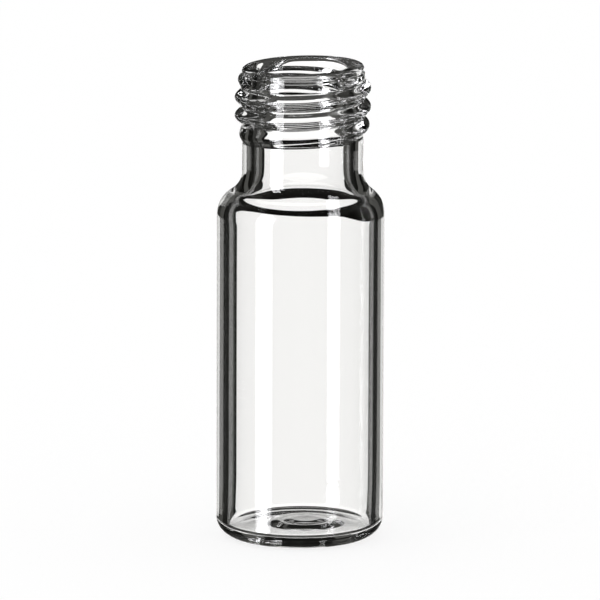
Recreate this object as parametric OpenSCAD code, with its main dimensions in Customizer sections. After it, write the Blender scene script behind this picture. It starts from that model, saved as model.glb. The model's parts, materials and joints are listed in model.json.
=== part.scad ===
// Clear glass sample vial with a short screw thread on its neck.
// One piece of glass, drawn from tube: flat foot around a slightly domed centre, thin
// straight wall, rounded shoulder, narrow neck, and an open mouth.
// Z is up, the axis is at X = Y = 0, and the foot stands on Z = 0. Millimetres.

/* [Body] */
// Outside diameter of the body
body_d = 11.5; // [11.3:0.1:12.2]
// Height from the foot to the top of the lip
total_h = 32.85; // [32:0.05:40]
// Thickness of the tube that the body is made of
wall = 0.785; // [0.7:0.005:1]
// Height at which the straight outside ends and the shoulder begins
shoulder_z = 22.48; // [18:0.01:22.6]

/* [Bottom] */
// Radius of the heel, where the side turns under
heel_r = 1.33; // [1.15:0.005:1.6]
// Width of the flat ring that the vial stands on
foot_ring_w = 0.13; // [0.1:0.005:0.6]
// Height of the domed centre over the foot
punt_h = 0.075; // [0.05:0.005:0.4]
// Radius of the inside corner between the wall and the floor
inner_heel_r = 0.315; // [0.25:0.005:0.9]
// Thickness of the floor where it meets the inside corner
floor_t = 0.905; // [0.7:0.005:1.1]
// Radius of the raised disc in the middle of the inside floor
disc_r = 2.3; // [2:0.05:2.6]
// Height of the raised disc over the floor around it
disc_h = 0.16; // [0.05:0.01:0.35]
// Radius of the smaller step on top of the disc
step_r = 1.25; // [0.7:0.05:1.4]
// Height of the smaller step
step_h = 0.07; // [0.02:0.01:0.15]

/* [Shoulder] */
// Outer radius of the shoulder
shoulder_r = 1.84; // [1.3:0.01:2]
// Angle that the outside of the shoulder turns through, from upright
shoulder_angle = 53.9; // [50:0.1:56]
// Outer radius of the hollow curve between shoulder and neck
neck_fillet_r = 1.77; // [1.2:0.01:2.05]
// Height of the inner shoulder's start over or under the outer one's
inner_offset = -0.24; // [-0.4:0.01:0.1]
// Angle that the inside of the shoulder turns through, from upright
inner_angle = 46.5; // [44:0.5:53]

/* [Neck and lip] */
// Outside diameter of the neck between its threads
neck_d = 8.3; // [8:0.05:8.4]
// Diameter of the lower part of the bore
bore_low_d = 6.42; // [6:0.02:6.44]
// Diameter of the bore at the mouth, a little narrower
bore_d = 5.96; // [5.8:0.02:6.3]
// Outside diameter of the lip
lip_d = 8.36; // [8.3:0.02:8.8]
// Height of the lip
lip_h = 0.6; // [0.55:0.05:0.9]
// Radius of the lip's outer edge
lip_edge_r = 0.25; // [0.2:0.01:0.5]
// Radius of the mouth's inner edge
mouth_edge_r = 0.47; // [0.2:0.01:0.5]

/* [Thread] */
// Rise of the thread in one turn
thread_pitch = 1.27; // [1.2:0.01:1.4]
// Diameter over the crests
crest_d = 9.34; // [9:0.02:9.5]
// Width of the ridge where it leaves the neck
ridge_w = 1.2; // [0.8:0.02:1.24]
// Depth from the lip's top to the ridge's middle at the upper end
thread_top_depth = 0.88; // [0.6:0.01:1.2]
// Length of the whole ridge, in turns
thread_turns = 3.8; // [3:0.1:4.1]
// Turns over which the upper end rises out of the neck
upper_run = 0.25; // [0.15:0.01:0.5]
// Turns over which the lower end fades into the neck
lower_run = 1.65; // [0.5:0.05:2]
// Direction of the upper end around the axis, from +X towards +Y
upper_end_angle = 222; // [0:1:359]

/* [Hidden] */

body_r = body_d / 2;
inner_r = body_r - wall;
neck_r = neck_d / 2;
bore_low_r = bore_low_d / 2;
bore_r = bore_d / 2;
lip_r = lip_d / 2;
crest_r = crest_d / 2;

GLASS = [0.86, 0.93, 0.92, 0.45];
ARC_STEP = 7.5;      // degrees in each step of an arc in the section
FLOOR_STEPS = 40;    // steps from the axis to the inside corner
DISC_RUN = 1.1;      // width of the slope around the raised disc
STEP_RUN = 0.9;      // width of the slope around the smaller step
TAPER_DEPTH = 5.35;  // depth of the taper's lower end under the mouth
TAPER_H = 2;         // height of the taper between the two bores
TAPER_STEPS = 8;     // steps along the taper
RING_STEP = 11.25;   // degrees between two sections of the ridge
RIDGE_SIDES = 6;     // steps across the rounded crest

// Each inner curve is two arcs, given by their radii and the turn of one of them, in degrees.
INNER_LOW_WALL_R = 1.5;   // next to the wall
INNER_LOW_CONE_R = 1.08;  // next to the cone
INNER_LOW_CONE_TURN = 16.3;
INNER_UP_CONE_R = 2.3;    // next to the cone
INNER_UP_BORE_R = 2.51;   // next to the bore
INNER_UP_BORE_TURN = 10;

// Outline drawn like a pen stroke: each move is [length] straight ahead or [radius, bend]
// along an arc, where a positive bend turns left.
function trail(at, heading, moves, i = 0) =
    i == len(moves) ? [] :
    len(moves[i]) == 1 ?
        let (to = at + moves[i][0] * [cos(heading), sin(heading)])
        concat([to], trail(to, heading, moves, i + 1)) :
        let (
            r = moves[i][0],
            bend = moves[i][1],
            out = heading - 90 * sign(bend),
            centre = at - r * [cos(out), sin(out)],
            n = ceil(abs(bend) / ARC_STEP),
            curve = [for (k = [1:n]) centre + r * [cos(out + bend * k / n), sin(out + bend * k / n)]])
        concat(curve, trail(curve[n - 1], heading + bend, moves, i + 1));

// Sideways reach of an arc whose heading swings between two angles from upright.
function reach(r, a, b) = r * abs(cos(a) - cos(b));

function smooth(x) = let (c = min(max(x, 0), 1)) c * c * (3 - 2 * c);
function reversed(points) = [for (i = [len(points) - 1:-1:0]) points[i]];

// Underside of the bottom, from the axis to the foot ring: a very shallow dome.
foot_inner_r = body_r - heel_r - foot_ring_w;
dome_r = (foot_inner_r * foot_inner_r + punt_h * punt_h) / (2 * punt_h);
dome_angle = asin(foot_inner_r / dome_r);
underside = [for (i = [0:8])
    let (a = dome_angle * i / 8)
    [dome_r * sin(a), punt_h - dome_r * (1 - cos(a))]];

// Outside of the heel, wall, shoulder and neck, from the foot up to the lip.
outer_cone = (body_r - neck_r - reach(shoulder_r + neck_fillet_r, 0, shoulder_angle))
    / sin(shoulder_angle);
foot_edge = [body_r - heel_r, 0];
outer_side = concat([foot_edge], trail(foot_edge, 0, [
    [heel_r, 90],
    [shoulder_z - heel_r],
    [shoulder_r, shoulder_angle],
    [outer_cone],
    [neck_fillet_r, -shoulder_angle]]));

lip_start = [lip_r, total_h - lip_h];
lip = concat([[neck_r, total_h - lip_h], lip_start], trail(lip_start, 90, [
    [lip_h - lip_edge_r],
    [lip_edge_r, 90],
    [lip_r - lip_edge_r - bore_r - mouth_edge_r],
    [mouth_edge_r, 90]]));

// Bore: narrower at the mouth, wider below.
taper_z = total_h - TAPER_DEPTH;
taper = [for (k = [TAPER_STEPS:-1:0])
    [bore_low_r + (bore_r - bore_low_r) * smooth(k / TAPER_STEPS), taper_z + TAPER_H * k / TAPER_STEPS]];

// Inside of the shoulder, drawn upwards from the wall to the bore.
low_wall_turn = inner_angle - INNER_LOW_CONE_TURN;
up_cone_turn = inner_angle - INNER_UP_BORE_TURN;
inner_curves_reach = reach(INNER_LOW_WALL_R, 0, low_wall_turn)
    + reach(INNER_LOW_CONE_R, low_wall_turn, inner_angle)
    + reach(INNER_UP_CONE_R, inner_angle, INNER_UP_BORE_TURN)
    + reach(INNER_UP_BORE_R, INNER_UP_BORE_TURN, 0);
inner_cone = (inner_r - bore_low_r - inner_curves_reach) / sin(inner_angle);
inner_start = [inner_r, shoulder_z + inner_offset];
inner_shoulder = concat([inner_start], trail(inner_start, 90, [
    [INNER_LOW_WALL_R, low_wall_turn],
    [INNER_LOW_CONE_R, INNER_LOW_CONE_TURN],
    [inner_cone],
    [INNER_UP_CONE_R, -up_cone_turn],
    [INNER_UP_BORE_R, -INNER_UP_BORE_TURN]]));

// Inside floor: a raised disc in the middle with a smaller step on top of it.
floor_r = inner_r - inner_heel_r;
corner_top = [inner_r, floor_t + inner_heel_r];
inner_corner = concat([corner_top], trail(corner_top, 270, [[inner_heel_r, -90]]));
function rise(r, edge_r, run, height) = height * smooth((edge_r + run / 2 - r) / run);
inner_floor = [for (i = [1:FLOOR_STEPS])
    let (r = floor_r * (1 - i / FLOOR_STEPS))
    [r, floor_t + rise(r, disc_r, DISC_RUN, disc_h) + rise(r, step_r, STEP_RUN, step_h)]];

section = concat(underside, outer_side, lip, taper, reversed(inner_shoulder), inner_corner, inner_floor);

// How far the ridge stands out at a point t turns below its upper end, from 0 to 1.
function ridge_growth(t) = smooth(t / upper_run) * smooth((thread_turns - t) / lower_run);

// One section of the ridge: a rounded crest on a root that stays inside the glass.
ROOT_SINK = 0.3; // depth of the root under the neck's surface
END_SINK = 0.12; // depth of the crest under the surface at the two ends
END_STAND = 0.01; // least height of the crest over its own edges
function ridge_ring(t) =
    let (
        angle = upper_end_angle - 360 * t,
        mid_z = total_h - thread_top_depth - thread_pitch * t,
        base_r = neck_r - END_SINK,
        stand = max((crest_r - base_r) * ridge_growth(t), END_STAND),
        half_w = ridge_w / 4 * (1 + ridge_growth(t)),
        profile = concat(
            [[neck_r - ROOT_SINK, -half_w]],
            [for (k = [0:RIDGE_SIDES])
                let (a = -90 + 180 * k / RIDGE_SIDES)
                [base_r + stand * cos(a), half_w * sin(a)]],
            [[neck_r - ROOT_SINK, half_w]]))
    [for (p = profile) [p[0] * cos(angle), p[0] * sin(angle), mid_z + p[1]]];

module thread_ridge() {
    rings = ceil(360 * thread_turns / RING_STEP);
    sides = RIDGE_SIDES + 3;
    points = [for (i = [0:rings]) each ridge_ring(thread_turns * i / rings)];
    walls = [for (i = [0:rings - 1], k = [0:sides - 1])
        let (a = i * sides + k, b = i * sides + (k + 1) % sides)
        each [[a, b + sides, b], [a, a + sides, b + sides]]];
    upper_cap = [for (k = [0:sides - 1]) k];
    lower_cap = [for (k = [sides - 1:-1:0]) rings * sides + k];
    polyhedron(points, concat(walls, [upper_cap, lower_cap]));
}

module glass_vial() {
    color(GLASS) union() {
        rotate_extrude($fn = 96) polygon(section);
        thread_ridge();
    }
}

glass_vial();
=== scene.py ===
# %% [markdown]
# # A glass sample vial
# A sample vial is made from one length of glass tube. The tube's end is melted shut for the
# bottom, the other end is softened, drawn in to a neck and rolled against a grooved wheel for
# the thread, and the rim is flame polished. It holds no second part: the whole vial is one
# closed skin of glass with air inside and out. In Blender that skin has to be one closed mesh
# with its normals outwards, because the renderer bends light wherever a ray crosses it.

# %% Load the fixed frame
import bpy
import bmesh
import json
import math
from mathutils import Matrix, Quaternion, Vector, noise


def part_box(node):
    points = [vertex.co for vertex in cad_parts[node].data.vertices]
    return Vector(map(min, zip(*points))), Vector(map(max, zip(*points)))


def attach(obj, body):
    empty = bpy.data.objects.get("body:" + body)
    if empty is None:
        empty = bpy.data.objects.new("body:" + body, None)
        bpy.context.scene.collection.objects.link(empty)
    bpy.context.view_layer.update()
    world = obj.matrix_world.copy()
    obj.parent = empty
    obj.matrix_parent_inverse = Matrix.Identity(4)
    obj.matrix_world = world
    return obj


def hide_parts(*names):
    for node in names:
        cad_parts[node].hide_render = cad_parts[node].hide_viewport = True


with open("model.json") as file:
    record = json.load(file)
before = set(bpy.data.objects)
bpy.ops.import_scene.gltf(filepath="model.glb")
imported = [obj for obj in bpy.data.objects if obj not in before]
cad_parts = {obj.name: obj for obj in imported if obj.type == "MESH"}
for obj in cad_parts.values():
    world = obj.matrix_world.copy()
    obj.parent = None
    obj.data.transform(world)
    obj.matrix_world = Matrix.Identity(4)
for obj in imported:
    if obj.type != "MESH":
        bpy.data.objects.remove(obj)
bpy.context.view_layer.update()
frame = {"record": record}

# %% [markdown]
# ## What the frame already settles
# The outline, the height and the bore are fixed by the drawing of the part, because a cap and a
# rack have to fit them. They are read from the frame here and not typed again. The modelling is
# done in millimetres, which keeps the numbers readable, and is scaled to metres at the end.

# %% Read the vial's size
MM = 0.001
NEARLY = 0.001
vial_low, vial_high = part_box("glass_vial")
mounts = {mount["name"]: mount for mount in frame["record"]["mounts"]}
body_r = (vial_high[0] - vial_low[0]) / 2 / MM
total_h = (vial_high[2] - vial_low[2]) / MM
bore_r = mounts["mouth"]["dims"]["r_mm"]
print(f"vial: {2 * body_r:.2f} mm across, {total_h:.2f} mm tall, bore {2 * bore_r:.2f} mm")

# %% [markdown]
# ## A pen for the section
# Everything round about the vial comes from one section, so it is drawn first, as a line of
# vertices in the plane Y = 0. A small pen walks along it. It goes forward by extruding its last
# vertex, and it turns by spinning that vertex about the centre of an arc. Each stretch starts in
# the direction that the last one ended in, so the curves flow into each other as soft glass does.

# %% The pen
class SectionPen:
    """Draws a chain of vertices: x is the distance from the axis and z is the height."""

    def __init__(self, shape, radius, height, heading):
        self.shape = shape
        self.tip = shape.verts.new((radius, 0, height))
        self.heading = heading

    def forward(self, length, steps):
        angle = math.radians(self.heading)
        stride = Vector((math.cos(angle), 0, math.sin(angle))) * (length / steps)
        for _ in range(steps):
            grown = bmesh.ops.extrude_vert_indiv(self.shape, verts=[self.tip])
            self.tip = grown["verts"][0]
            bmesh.ops.translate(self.shape, verts=[self.tip], vec=stride)

    def turn(self, radius, degrees, steps):
        """Follows an arc; positive degrees turn to the left."""
        across = math.radians(self.heading + math.copysign(90, degrees))
        centre = self.tip.co + Vector((math.cos(across), 0, math.sin(across))) * radius
        swept = bmesh.ops.spin(
            self.shape, geom=[self.tip], cent=centre, axis=(0, -1, 0),
            angle=math.radians(degrees), steps=steps, use_duplicate=False)
        ends = [item for item in swept["geom_last"] if isinstance(item, bmesh.types.BMVert)]
        self.tip = ends[0]
        self.heading += degrees


# %% [markdown]
# ## The outside
# The underside is slightly domed so that the vial stands on a ring and does not rock. The heel is
# a quarter circle, the side is the tube as it was drawn, and the shoulder is two arcs with a short
# cone between them. The neck gets many close steps because the thread is raised from it later.

# %% Sizes of the outside, in millimetres
heel_r = 1.33
foot_inner_r = 4.29
punt_h = 0.075
shoulder_z = 22.48
shoulder_r = 1.84
shoulder_turn = 53.9
neck_fillet_r = 1.77
neck_r = 4.15
THREAD_ZONE_Z = 27.2
lip_edge_r = 0.25


def arcs_across(arcs):
    """How far a run of arcs, each (radius, degrees), moves sideways from an upright start."""
    across, turned = 0, 0
    for radius, degrees in arcs:
        end = turned + degrees
        across += radius * (math.cos(math.radians(turned)) - math.cos(math.radians(end)))
        turned = end
    return across


def arcs_rise(arcs):
    """How far the same run of arcs moves up."""
    rise, turned = 0, 0
    for radius, degrees in arcs:
        end = turned + degrees
        rise += radius * (math.sin(math.radians(end)) - math.sin(math.radians(turned)))
        turned = end
    return rise


def cone_length(step_in, lower_arcs, upper_arcs, turn):
    """Straight stretch left between the curves of a shoulder that steps in by that much."""
    return (step_in - arcs_across(lower_arcs) - arcs_across(upper_arcs)) / math.sin(math.radians(turn))


# %% Draw the outside, from the middle of the underside to the lip
section = bmesh.new()
dome_r = (foot_inner_r ** 2 + punt_h ** 2) / (2 * punt_h)
dome_turn = math.degrees(math.asin(foot_inner_r / dome_r))
outer_low, outer_up = [(shoulder_r, shoulder_turn)], [(neck_fillet_r, shoulder_turn)]
outer_cone = cone_length(body_r - neck_r, outer_low, outer_up, shoulder_turn)
neck_start_z = (shoulder_z + arcs_rise(outer_low) + arcs_rise(outer_up)
                + outer_cone * math.cos(math.radians(shoulder_turn)))

pen = SectionPen(section, 0, punt_h, heading=0)
pen.turn(dome_r, -dome_turn, steps=16)
pen.heading = 0
pen.forward(body_r - heel_r - foot_inner_r, steps=2)
pen.turn(heel_r, 90, steps=16)
pen.forward(shoulder_z - heel_r, steps=8)
pen.turn(shoulder_r, shoulder_turn, steps=16)
pen.forward(outer_cone, steps=1)
pen.turn(neck_fillet_r, -shoulder_turn, steps=16)
pen.forward(THREAD_ZONE_Z - neck_start_z, steps=6)
pen.forward(total_h - lip_edge_r - THREAD_ZONE_Z, steps=120)
pen.turn(lip_edge_r, 90, steps=8)

# %% [markdown]
# ## The inside
# The inside follows the outside one wall away along the body. At the shoulder it does not: the
# glass gathers there when the neck is drawn in, so the bore stays straight for longer, flares
# steeply and then turns into the body with a tighter curve. That thick ring of glass gives
# the dark band and the bright lens under the neck. Its curves cannot be seen directly and are
# set by how that band and lens look.

# %% Sizes of the inside, in millimetres
wall = 0.785
mouth_edge_r = 0.47
floor_t = 0.907
inner_heel_r = 0.315
inner_shoulder_z = 22.24
inner_turn = 46.5
inner_up = [(2.51, 10), (2.3, 36.5)]
inner_low = [(1.5, 30.2), (1.08, 16.3)]
bore_low_r = 3.21
TAPER_START_Z = 27.5
TAPER_RISE = 2.0


def smooth(value):
    """A step from 0 to 1 that starts and ends level."""
    value = min(max(value, 0), 1)
    return value * value * (3 - 2 * value)


inner_r = body_r - wall
inner_cone = cone_length(inner_r - bore_low_r, inner_low, inner_up, inner_turn)
bore_bottom_z = (inner_shoulder_z + arcs_rise(inner_low) + arcs_rise(inner_up)
                 + inner_cone * math.cos(math.radians(inner_turn)))
floor_r = inner_r - inner_heel_r
print(f"inner shoulder: cone {inner_cone:.2f} mm, bore ends {bore_bottom_z:.2f} mm up")

# %% Draw the inside, from the lip down to the middle of the floor
pen.forward(neck_r - lip_edge_r - bore_low_r - mouth_edge_r, steps=4)
pen.turn(mouth_edge_r, 90, steps=12)
pen.forward(total_h - mouth_edge_r - bore_bottom_z, steps=28)
for radius, degrees in inner_up:
    pen.turn(radius, degrees, steps=max(4, round(degrees / 3)))
pen.forward(inner_cone, steps=2)
for radius, degrees in inner_low[::-1]:
    pen.turn(radius, -degrees, steps=max(4, round(degrees / 3)))
pen.forward(inner_shoulder_z - floor_t - inner_heel_r, steps=8)
pen.turn(inner_heel_r, -90, steps=14)
pen.forward(floor_r, steps=135)
pen.tip.co.x = 0
for point in section.verts:
    if point.co.x < bore_low_r + mouth_edge_r + NEARLY:
        point.co.x -= (bore_low_r - bore_r) * smooth((point.co.z - TAPER_START_Z) / TAPER_RISE)
print(f"section: {len(section.verts)} points, the last one at height {pen.tip.co.z:.4f}")

# %% [markdown]
# ## Spinning the skin
# One full spin about Z turns the line into a closed skin. The points on the axis would be left as
# many vertices in one place, so doubles are merged, and the normals are then made to face out.

# %% Spin the section
COLUMNS = 224
MERGE_DISTANCE = 0.0005
bmesh.ops.spin(section, geom=section.verts[:] + section.edges[:], cent=(0, 0, 0), axis=(0, 0, 1),
               angle=math.tau, steps=COLUMNS, use_merge=True, use_duplicate=False)
bmesh.ops.remove_doubles(section, verts=section.verts[:], dist=MERGE_DISTANCE)
bmesh.ops.recalc_face_normals(section, faces=section.faces[:])
print(f"skin: {len(section.faces)} faces, volume {section.calc_volume(signed=True):.0f} cubic mm")

# %% [markdown]
# ## The rolled thread
# The thread was not cut. A wheel pressed grooves into the soft neck and the glass between them
# stood up as round ridges. So the ridges are not a separate part either: the neck's own vertices
# are moved out along a helix. It is right-handed, has full height for two turns, starts abruptly
# on the left of the front, and fades slowly into the plain neck at the bottom.

# %% Sizes of the thread
THREAD_PITCH = 1.27
CREST_R = 4.67
THREAD_TOP_Z = 31.97
UPPER_END_ANGLE = 222
THREAD_TURNS = 3.8
UPPER_RUN = 0.25
LOWER_RUN = 1.65
CREST_ROUNDNESS = 0.683
VALLEY_SOFTNESS = 0.4
VALLEY_R = 4.252
VALLEY_START_Z = 27.5
VALLEY_RISE = 2.5
LIP_R = 4.18
LIP_START_Z = 32.2
LIP_RUN = 0.27


def ridge_growth(turns):
    """Height of the ridge, from 0 to 1, that many turns below its upper end."""
    return smooth(turns / UPPER_RUN) * smooth((THREAD_TURNS - turns) / LOWER_RUN)


def ridge_shape(offset):
    """Height across the ridge, from 1 on its crest to 0 in the valley half a pitch away."""
    softened = (math.cos(math.pi * offset) ** 2 + VALLEY_SOFTNESS ** 2) ** (CREST_ROUNDNESS / 2)
    valley = VALLEY_SOFTNESS ** CREST_ROUNDNESS
    crest = (1 + VALLEY_SOFTNESS ** 2) ** (CREST_ROUNDNESS / 2)
    return (softened - valley) / (crest - valley)


# %% [markdown]
# The helix passes a given side of the neck once a turn. For a vertex at some angle and height the
# nearest pass is found by rounding, and its two neighbours are tried as well, because the ridge
# is higher where it has already grown. The vertex then moves straight out.

# %% Raise the ridges
BORE_CLEARANCE = 0.1
RIDGED_FROM = 0.11


def ridge_stand(angle, height):
    """How far the neck stands out, in millimetres, at an angle in degrees and a height."""
    below_end = ((UPPER_END_ANGLE - angle) % 360) / 360
    nearest = round((THREAD_TOP_Z - height) / THREAD_PITCH - below_end)
    stand = 0
    for lap in (nearest - 1, nearest, nearest + 1):
        turns = below_end + lap
        offset = (THREAD_TOP_Z - height) / THREAD_PITCH - turns
        if 0 <= turns <= THREAD_TURNS and abs(offset) < 0.5:
            stand = max(stand, ridge_growth(turns) * ridge_shape(offset))
    valley_r = (neck_r + (VALLEY_R - neck_r) * smooth((height - VALLEY_START_Z) / VALLEY_RISE)
                - (VALLEY_R - LIP_R) * smooth((height - LIP_START_Z) / LIP_RUN))
    return valley_r + stand * (CREST_R - valley_r) - neck_r


ridged = 0
for vert in section.verts:
    radius = math.hypot(vert.co.x, vert.co.y)
    outside_neck = vert.co.z > neck_start_z and radius > bore_r + mouth_edge_r + BORE_CLEARANCE
    if outside_neck:
        stand = ridge_stand(math.degrees(math.atan2(vert.co.y, vert.co.x)), vert.co.z)
        vert.co.x *= 1 + stand / radius
        vert.co.y *= 1 + stand / radius
        ridged += stand > RIDGED_FROM
print(f"thread: {ridged} points raised, {CREST_R * 2:.2f} mm over the crests")

# %% [markdown]
# ## The melted bottom
# When the tube's end is melted shut the glass runs to the middle, so the inside floor rises there
# in two soft steps, a wide low mound with a smaller one on top of it, a little off the axis.
# Their slopes are only a few degrees steep. That is enough: seen from low down, glass so tilted
# mirrors the light inside the floor and looks dark.

# %% Mound and step on the floor
FLOOR_CENTRE = (0.42, 0)
FLOOR_STEPS = [(0.16, 2.3, 1.1), (0.07, 1.25, 0.9)]
EDGE_FADE = 0.6


def floor_rise(x, y):
    """How far the melted floor stands above its flat level at a place on it."""
    from_centre = math.hypot(x - FLOOR_CENTRE[0], y - FLOOR_CENTRE[1])
    rise = 0
    for step_h, step_r, step_run in FLOOR_STEPS:
        rise += step_h * smooth((step_r + step_run / 2 - from_centre) / step_run)
    return rise * smooth((floor_r - math.hypot(x, y)) / EDGE_FADE)


for vert in section.verts:
    if abs(vert.co.z - floor_t) < NEARLY and math.hypot(vert.co.x, vert.co.y) < floor_r + NEARLY:
        vert.co.z += floor_rise(vert.co.x, vert.co.y)

# %% [markdown]
# ## Small faults of hand and flame
# The neck was formed after the body, so it is never quite on the axis, and the rim is never
# quite level. The tube's wall is a little thicker on one side. The hot neck also keeps a faint
# waviness inside, where nothing but the flame shaped it.

# %% Shift the neck and the bore, tilt the rim
NECK_SHIFT = 0.13
BORE_SHIFT = 0.04
RIM_SLOPE = 0.028
BORE_WAVES = 0.004
NECK_BLEND = 2.2
RIM_DEPTH = 1.6
RIM_BLEND = 1.4
BORE_BLEND = 1.0
FLOOR_BLEND = 1.5
WAVES_AROUND = 0.35
WAVES_ALONG = 0.9
SIDE_MARGIN = 0.01
for vert in section.verts:
    radius = math.hypot(vert.co.x, vert.co.y)
    raised = smooth((vert.co.z - shoulder_z) / NECK_BLEND)
    near_rim = smooth((vert.co.z - total_h + RIM_DEPTH) / RIM_BLEND)
    in_bore = smooth((vert.co.z - bore_bottom_z) / BORE_BLEND) * (radius < bore_r + SIDE_MARGIN)
    above_floor = smooth((vert.co.z - floor_t) / FLOOR_BLEND) * (radius < inner_r + SIDE_MARGIN)
    if in_bore > 0:
        wave_place = (vert.co.x * WAVES_AROUND, vert.co.y * WAVES_AROUND, vert.co.z * WAVES_ALONG)
        wave = noise.noise(Vector(wave_place))
        swell = 1 + BORE_WAVES * in_bore * (1 - near_rim) * wave / radius
        vert.co.x *= swell
        vert.co.y *= swell
    vert.co.z += RIM_SLOPE * near_rim * (vert.co.x - neck_r)
    vert.co.x += NECK_SHIFT * raised + BORE_SHIFT * above_floor * (1 - raised)

# %% Finish the skin
bmesh.ops.scale(section, vec=(MM, MM, MM), verts=section.verts[:])
for face in section.faces:
    face.smooth = True
skin = bpy.data.meshes.new("vial_skin")
section.to_mesh(skin)
section.free()
vial = bpy.data.objects.new("vial_glass", skin)
bpy.context.scene.collection.objects.link(vial)
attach(vial, "root")
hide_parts("glass_vial")
print(f"vial_glass: {len(skin.polygons)} faces")

# %% [markdown]
# ## Clear borosilicate glass
# The glass has no colour that one would notice in a wall of less than a millimetre, so it is left
# white and all that it shows is bent or mirrored light. What makes it look real is the surface.
# A drawn tube has long faint lines along its axis and the flame leaves slow waves on the neck.
# Both are made as heights of a thousandth of a millimetre.

# %% Glass shader
BOROSILICATE_IOR = 1.49
glass = bpy.data.materials.new("clear_borosilicate")
glass.use_nodes = True
glass_nodes, glass_links = glass.node_tree.nodes, glass.node_tree.links
glass_shader = glass_nodes["Principled BSDF"]
glass_shader.inputs["Base Color"].default_value = (1, 1, 1, 1)
glass_shader.inputs["Roughness"].default_value = 0.0
glass_shader.inputs["IOR"].default_value = BOROSILICATE_IOR
glass_shader.inputs["Transmission Weight"].default_value = 1.0
skin.materials.append(glass)

# %% Draw lines and flame waves
DRAW_LINE_H = 0.0012 * MM
FLAME_WAVE_H = 0.0025 * MM
place = glass_nodes.new("ShaderNodeTexCoord")
stretch = glass_nodes.new("ShaderNodeMapping")
stretch.inputs["Scale"].default_value = (1300, 1300, 25)
draw_lines = glass_nodes.new("ShaderNodeTexNoise")
draw_lines.inputs["Scale"].default_value = 1.0
draw_lines.inputs["Detail"].default_value = 2.0
squash = glass_nodes.new("ShaderNodeMapping")
squash.inputs["Scale"].default_value = (120, 120, 1100)
flame_waves = glass_nodes.new("ShaderNodeTexNoise")
flame_waves.inputs["Scale"].default_value = 1.0
flame_waves.inputs["Detail"].default_value = 1.0
glass_links.new(place.outputs["Object"], stretch.inputs["Vector"])
glass_links.new(place.outputs["Object"], squash.inputs["Vector"])
glass_links.new(stretch.outputs["Vector"], draw_lines.inputs["Vector"])
glass_links.new(squash.outputs["Vector"], flame_waves.inputs["Vector"])

# %% Only the worked neck has flame waves
height_up = glass_nodes.new("ShaderNodeSeparateXYZ")
worked = glass_nodes.new("ShaderNodeMapRange")
worked.interpolation_type = "SMOOTHSTEP"
worked.inputs["From Min"].default_value = shoulder_z * MM
worked.inputs["From Max"].default_value = (shoulder_z + 3) * MM
worked.inputs["To Min"].default_value = 0.0
worked.inputs["To Max"].default_value = FLAME_WAVE_H
wave_height = glass_nodes.new("ShaderNodeMath")
wave_height.operation = "MULTIPLY"
line_height = glass_nodes.new("ShaderNodeMath")
line_height.operation = "MULTIPLY_ADD"
line_height.inputs[1].default_value = DRAW_LINE_H
relief = glass_nodes.new("ShaderNodeBump")
relief.inputs["Strength"].default_value = 1.0
relief.inputs["Distance"].default_value = 1.0
glass_links.new(place.outputs["Object"], height_up.inputs["Vector"])
glass_links.new(height_up.outputs["Z"], worked.inputs["Value"])
glass_links.new(worked.outputs["Result"], wave_height.inputs[0])
glass_links.new(flame_waves.outputs["Fac"], wave_height.inputs[1])
glass_links.new(draw_lines.outputs["Fac"], line_height.inputs[0])
glass_links.new(wave_height.outputs["Value"], line_height.inputs[2])
glass_links.new(line_height.outputs["Value"], relief.inputs["Height"])
glass_links.new(relief.outputs["Normal"], glass_shader.inputs["Normal"])

# %% [markdown]
# ## The table and the light
# The vial stands on a plain pale table in an even white room. The table keeps a faint shadow where
# the vial touches it. Glass shows nothing but what is around it, so the glass is given its
# own surroundings below and does not look at the table.

# %% Helpers for the studio
def emission(name, colour, strength):
    """A card's paint: plain light of one colour."""
    made = bpy.data.materials.new(name)
    made.use_nodes = True
    card_tree = made.node_tree
    card_tree.nodes.clear()
    glow = card_tree.nodes.new("ShaderNodeEmission")
    glow.inputs["Color"].default_value = (*colour, 1)
    glow.inputs["Strength"].default_value = strength
    card_out = card_tree.nodes.new("ShaderNodeOutputMaterial")
    card_tree.links.new(glow.outputs["Emission"], card_out.inputs["Surface"])
    return made


def studio_object(name, shape, material):
    """Turns a shape into a mesh of the studio, which is not a part of the vial."""
    mesh = bpy.data.meshes.new(name)
    shape.to_mesh(mesh)
    shape.free()
    mesh.materials.append(material)
    made = bpy.data.objects.new(name, mesh)
    bpy.context.scene.collection.objects.link(made)
    return made


# %% Table
TABLE_GAP = 0.00002
TABLE_HALF = 3
SELF_LIT_SHARE = 0.8
table_shape = bmesh.new()
bmesh.ops.create_grid(table_shape, x_segments=1, y_segments=1, size=TABLE_HALF)
bmesh.ops.translate(table_shape, verts=table_shape.verts[:], vec=(0, 0, -TABLE_GAP))
table_paint = bpy.data.materials.new("pale_table")
table_paint.use_nodes = True
table_nodes, table_links = table_paint.node_tree.nodes, table_paint.node_tree.links
table_nodes.clear()
matt = table_nodes.new("ShaderNodeBsdfDiffuse")
matt.inputs["Color"].default_value = (0.9, 0.9, 0.9, 1)
white = table_nodes.new("ShaderNodeEmission")
white.inputs["Strength"].default_value = 1.05
ray = table_nodes.new("ShaderNodeLightPath")
share = table_nodes.new("ShaderNodeMath")
share.operation = "MULTIPLY"
share.inputs[1].default_value = SELF_LIT_SHARE
both = table_nodes.new("ShaderNodeMixShader")
table_out = table_nodes.new("ShaderNodeOutputMaterial")
table_links.new(ray.outputs["Is Camera Ray"], share.inputs[0])
table_links.new(share.outputs["Value"], both.inputs["Fac"])
table_links.new(matt.outputs["BSDF"], both.inputs[1])
table_links.new(white.outputs["Emission"], both.inputs[2])
table_links.new(both.outputs["Shader"], table_out.inputs["Surface"])
table = studio_object("table", table_shape, table_paint)
table.visible_glossy = False
table.visible_transmission = False

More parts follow.
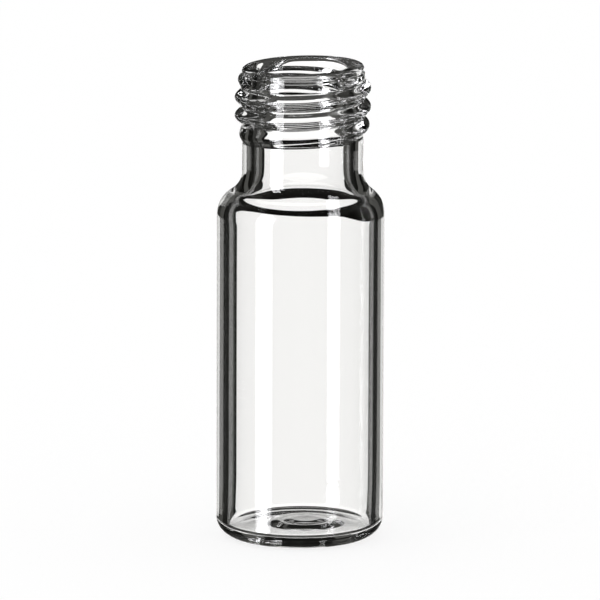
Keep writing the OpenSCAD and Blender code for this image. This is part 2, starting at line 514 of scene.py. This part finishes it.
# %% White room
room = bpy.data.worlds.new("white_room")
bpy.context.scene.world = room
room.use_nodes = True
room_nodes, room_links = room.node_tree.nodes, room.node_tree.links
room_back = room_nodes["Background"]
room_back.inputs["Color"].default_value = (1, 1, 1, 1)
room_ray = room_nodes.new("ShaderNodeLightPath")
seen_white = room_nodes.new("ShaderNodeMapRange")
seen_white.inputs["To Min"].default_value = 0.8
seen_white.inputs["To Max"].default_value = 1.0
room_links.new(room_ray.outputs["Is Camera Ray"], seen_white.inputs["Value"])
room_links.new(seen_white.outputs["Result"], room_back.inputs["Strength"])

# %% [markdown]
# A broad lamp high on the left carries the rest of the table's light. It is as wide as it is far
# away, so the shadow beside the vial stays faint and has no edge.

# %% Overhead lamp
LAMP_SIZE = 2
LAMP_PLACE = (-1, -1, 2)
LAMP_POWER = 8
lamp_data = bpy.data.lights.new("overhead", "AREA")
lamp_data.size = LAMP_SIZE
lamp_data.energy = LAMP_POWER
lamp = bpy.data.objects.new("overhead", lamp_data)
bpy.context.scene.collection.objects.link(lamp)
lamp.location = LAMP_PLACE
lamp.rotation_mode = "QUATERNION"
lamp.rotation_quaternion = Vector(LAMP_PLACE).to_track_quat("Z", "Y")
lamp.visible_glossy = False
lamp.visible_transmission = False

# %% [markdown]
# ## The camera
# A long lens two thirds of a metre away, eleven degrees above the table. The sides of the vial stay
# parallel, and the mouth shows as a narrower ellipse than the bottom because it is nearer to the
# height of the lens.

# %% Camera
ELEVATION = 11.4
FRAME_WIDTH = 41.124 * MM
LENS = 600
SENSOR = 36
AIM = Vector((-0.02, 0, 16.41)) * MM
ROLL = 0.2
camera_data = bpy.data.cameras.new("camera")
camera_data.lens = LENS
camera_data.sensor_width = SENSOR
camera_data.clip_start = 0.01
camera_data.clip_end = 30
camera = bpy.data.objects.new("camera", camera_data)
bpy.context.scene.collection.objects.link(camera)
tilt = math.radians(ELEVATION)
back_away = Vector((0, -math.cos(tilt), math.sin(tilt)))
camera.location = AIM + back_away * (FRAME_WIDTH * LENS / SENSOR)
camera.rotation_mode = "QUATERNION"
roll = Quaternion((0, 0, 1), math.radians(ROLL))
camera.rotation_quaternion = (-back_away).to_track_quat("-Z", "Y") @ roll
bpy.context.scene.camera = camera
bpy.context.view_layer.update()

# %% [markdown]
# ## Cards around the glass
# Clear glass is lit by its surroundings. A white sheet stands behind the vial and shows straight
# through the middle. Black and grey cards beside it show in the edges, where the glass bends light
# far to the side, and draw its outline. The stretch of table in front of the sheet is brighter and
# lights the thread from below, and a soft box near the camera gives the long highlight. The cards
# hang on the camera, like a rig, and go round with it, so every view is lit as the front one is.
# In a plain white room the same glass would show far paler edges.

# %% A curved card
def card(name, azimuths, heights, reach, material):
    """A card between two azimuths (0 is straight behind the vial, right is positive) and two
    heights in degrees, seen from the vial."""
    shape = bmesh.new()
    lowest = math.radians(heights[0])
    start = shape.verts.new((0, reach * math.cos(lowest), reach * math.sin(lowest)))
    rise = heights[1] - heights[0]
    bmesh.ops.spin(shape, geom=[start], cent=(0, 0, 0), axis=(1, 0, 0), angle=math.radians(rise),
                   steps=max(2, int(rise / 4)), use_duplicate=False)
    first = Matrix.Rotation(-math.radians(azimuths[0]), 3, "Z")
    bmesh.ops.rotate(shape, verts=shape.verts[:], cent=(0, 0, 0), matrix=first)
    sweep = azimuths[1] - azimuths[0]
    bmesh.ops.spin(shape, geom=shape.verts[:] + shape.edges[:], cent=(0, 0, 0), axis=(0, 0, -1),
                   angle=math.radians(sweep), steps=max(2, int(sweep / 4)), use_duplicate=False)
    bmesh.ops.translate(shape, verts=shape.verts[:], vec=AIM)
    made = studio_object(name, shape, material)
    made.visible_camera = False
    made.visible_diffuse = False
    made.visible_shadow = False
    made.parent = camera
    made.matrix_parent_inverse = camera.matrix_world.inverted()
    return made


# %% Black, white and grey
SHEET_AZIMUTHS = (-15.2, 18.5)
TABLE_EDGE = -14.2
TABLE_NEAR_EDGE = -30
SHEET_TOP = -6.5
SIDE_HEIGHTS = (-60, 60)
TENT_REACH = 8
BELOW_REACH = 7.9
SIDE_REACH = 7.0
SHEET_REACH = 6.0
black_cloth = emission("black_cloth", (1, 1, 0.85), 0.004)
grey_cloth = emission("grey_cloth", (1, 1, 0.93), 0.085)
far_grey_cloth = emission("far_grey_cloth", (1, 1, 0.93), 0.037)
dark_table = emission("dark_table", (1, 1, 0.95), 0.069)
white_sheet = emission("white_sheet", (1, 0.995, 0.98), 1.06)
white_table = emission("white_table", (1, 0.995, 0.98), 1.2)
card("black_tent", (-180, 180), (-90, 90), TENT_REACH, black_cloth)
card("dark_below", (-180, 180), (-90, TABLE_NEAR_EDGE), BELOW_REACH, dark_table)
card("white_behind", SHEET_AZIMUTHS, (TABLE_EDGE, SHEET_TOP), SHEET_REACH, white_sheet)
card("white_table", SHEET_AZIMUTHS, (TABLE_NEAR_EDGE, TABLE_EDGE), SHEET_REACH, white_table)
card("grey_left", (-33, -18.5), SIDE_HEIGHTS, SIDE_REACH, grey_cloth)
card("grey_right", (18.5, 34), SIDE_HEIGHTS, SIDE_REACH, grey_cloth)
card("far_grey_left", (-80, -52), SIDE_HEIGHTS, SIDE_REACH, far_grey_cloth)
card("far_grey_right", (53, 80), SIDE_HEIGHTS, SIDE_REACH, far_grey_cloth)

# %% [markdown]
# The soft box fades towards its sides, as a lamp behind a cloth does. The fade is taken from the
# azimuth of each point of the card, so it runs the same way over its whole height.

# %% Soft box
SOFT_EDGE = 5
SOFTBOX_AZIMUTHS = (-137, -114.5)
SOFTBOX_HEIGHTS = (-24, 40)
SOFTBOX_STRENGTH = 13
SOFTBOX_REACH = 5.0


def softbox_paint(name, colour, strength, azimuths):
    """Paint for a soft box that fades out over SOFT_EDGE degrees on both sides."""
    made = emission(name, colour, strength)
    box_nodes, box_links = made.node_tree.nodes, made.node_tree.links
    where = box_nodes.new("ShaderNodeTexCoord")
    from_vial = box_nodes.new("ShaderNodeVectorMath")
    from_vial.operation = "SUBTRACT"
    from_vial.inputs[1].default_value = AIM
    parts = box_nodes.new("ShaderNodeSeparateXYZ")
    azimuth = box_nodes.new("ShaderNodeMath")
    azimuth.operation = "ARCTAN2"
    middle = math.radians(sum(azimuths) / 2)
    half = math.radians(abs(azimuths[1] - azimuths[0]) / 2)
    off_middle = box_nodes.new("ShaderNodeMath")
    off_middle.operation = "SUBTRACT"
    off_middle.inputs[1].default_value = middle
    sideways = box_nodes.new("ShaderNodeMath")
    sideways.operation = "ABSOLUTE"
    fade = box_nodes.new("ShaderNodeMapRange")
    fade.interpolation_type = "SMOOTHSTEP"
    fade.inputs["From Min"].default_value = half - math.radians(SOFT_EDGE)
    fade.inputs["From Max"].default_value = half
    fade.inputs["To Min"].default_value = strength
    fade.inputs["To Max"].default_value = 0.0
    box_links.new(where.outputs["Object"], from_vial.inputs[0])
    box_links.new(from_vial.outputs["Vector"], parts.inputs["Vector"])
    box_links.new(parts.outputs["X"], azimuth.inputs[0])
    box_links.new(parts.outputs["Y"], azimuth.inputs[1])
    box_links.new(azimuth.outputs["Value"], off_middle.inputs[0])
    box_links.new(off_middle.outputs["Value"], sideways.inputs[0])
    box_links.new(sideways.outputs["Value"], fade.inputs["Value"])
    box_links.new(fade.outputs["Result"], box_nodes["Emission"].inputs["Strength"])
    return made


soft_white = softbox_paint("softbox_left", (0.98, 0.98, 1), SOFTBOX_STRENGTH, SOFTBOX_AZIMUTHS)
card("softbox_left", SOFTBOX_AZIMUTHS, SOFTBOX_HEIGHTS, SOFTBOX_REACH, soft_white)

# %% Picture settings
bpy.context.scene.view_settings.view_transform = "Standard"
bpy.context.scene.cycles.max_bounces = 32
bpy.context.scene.cycles.transmission_bounces = 32
bpy.context.scene.cycles.glossy_bounces = 16
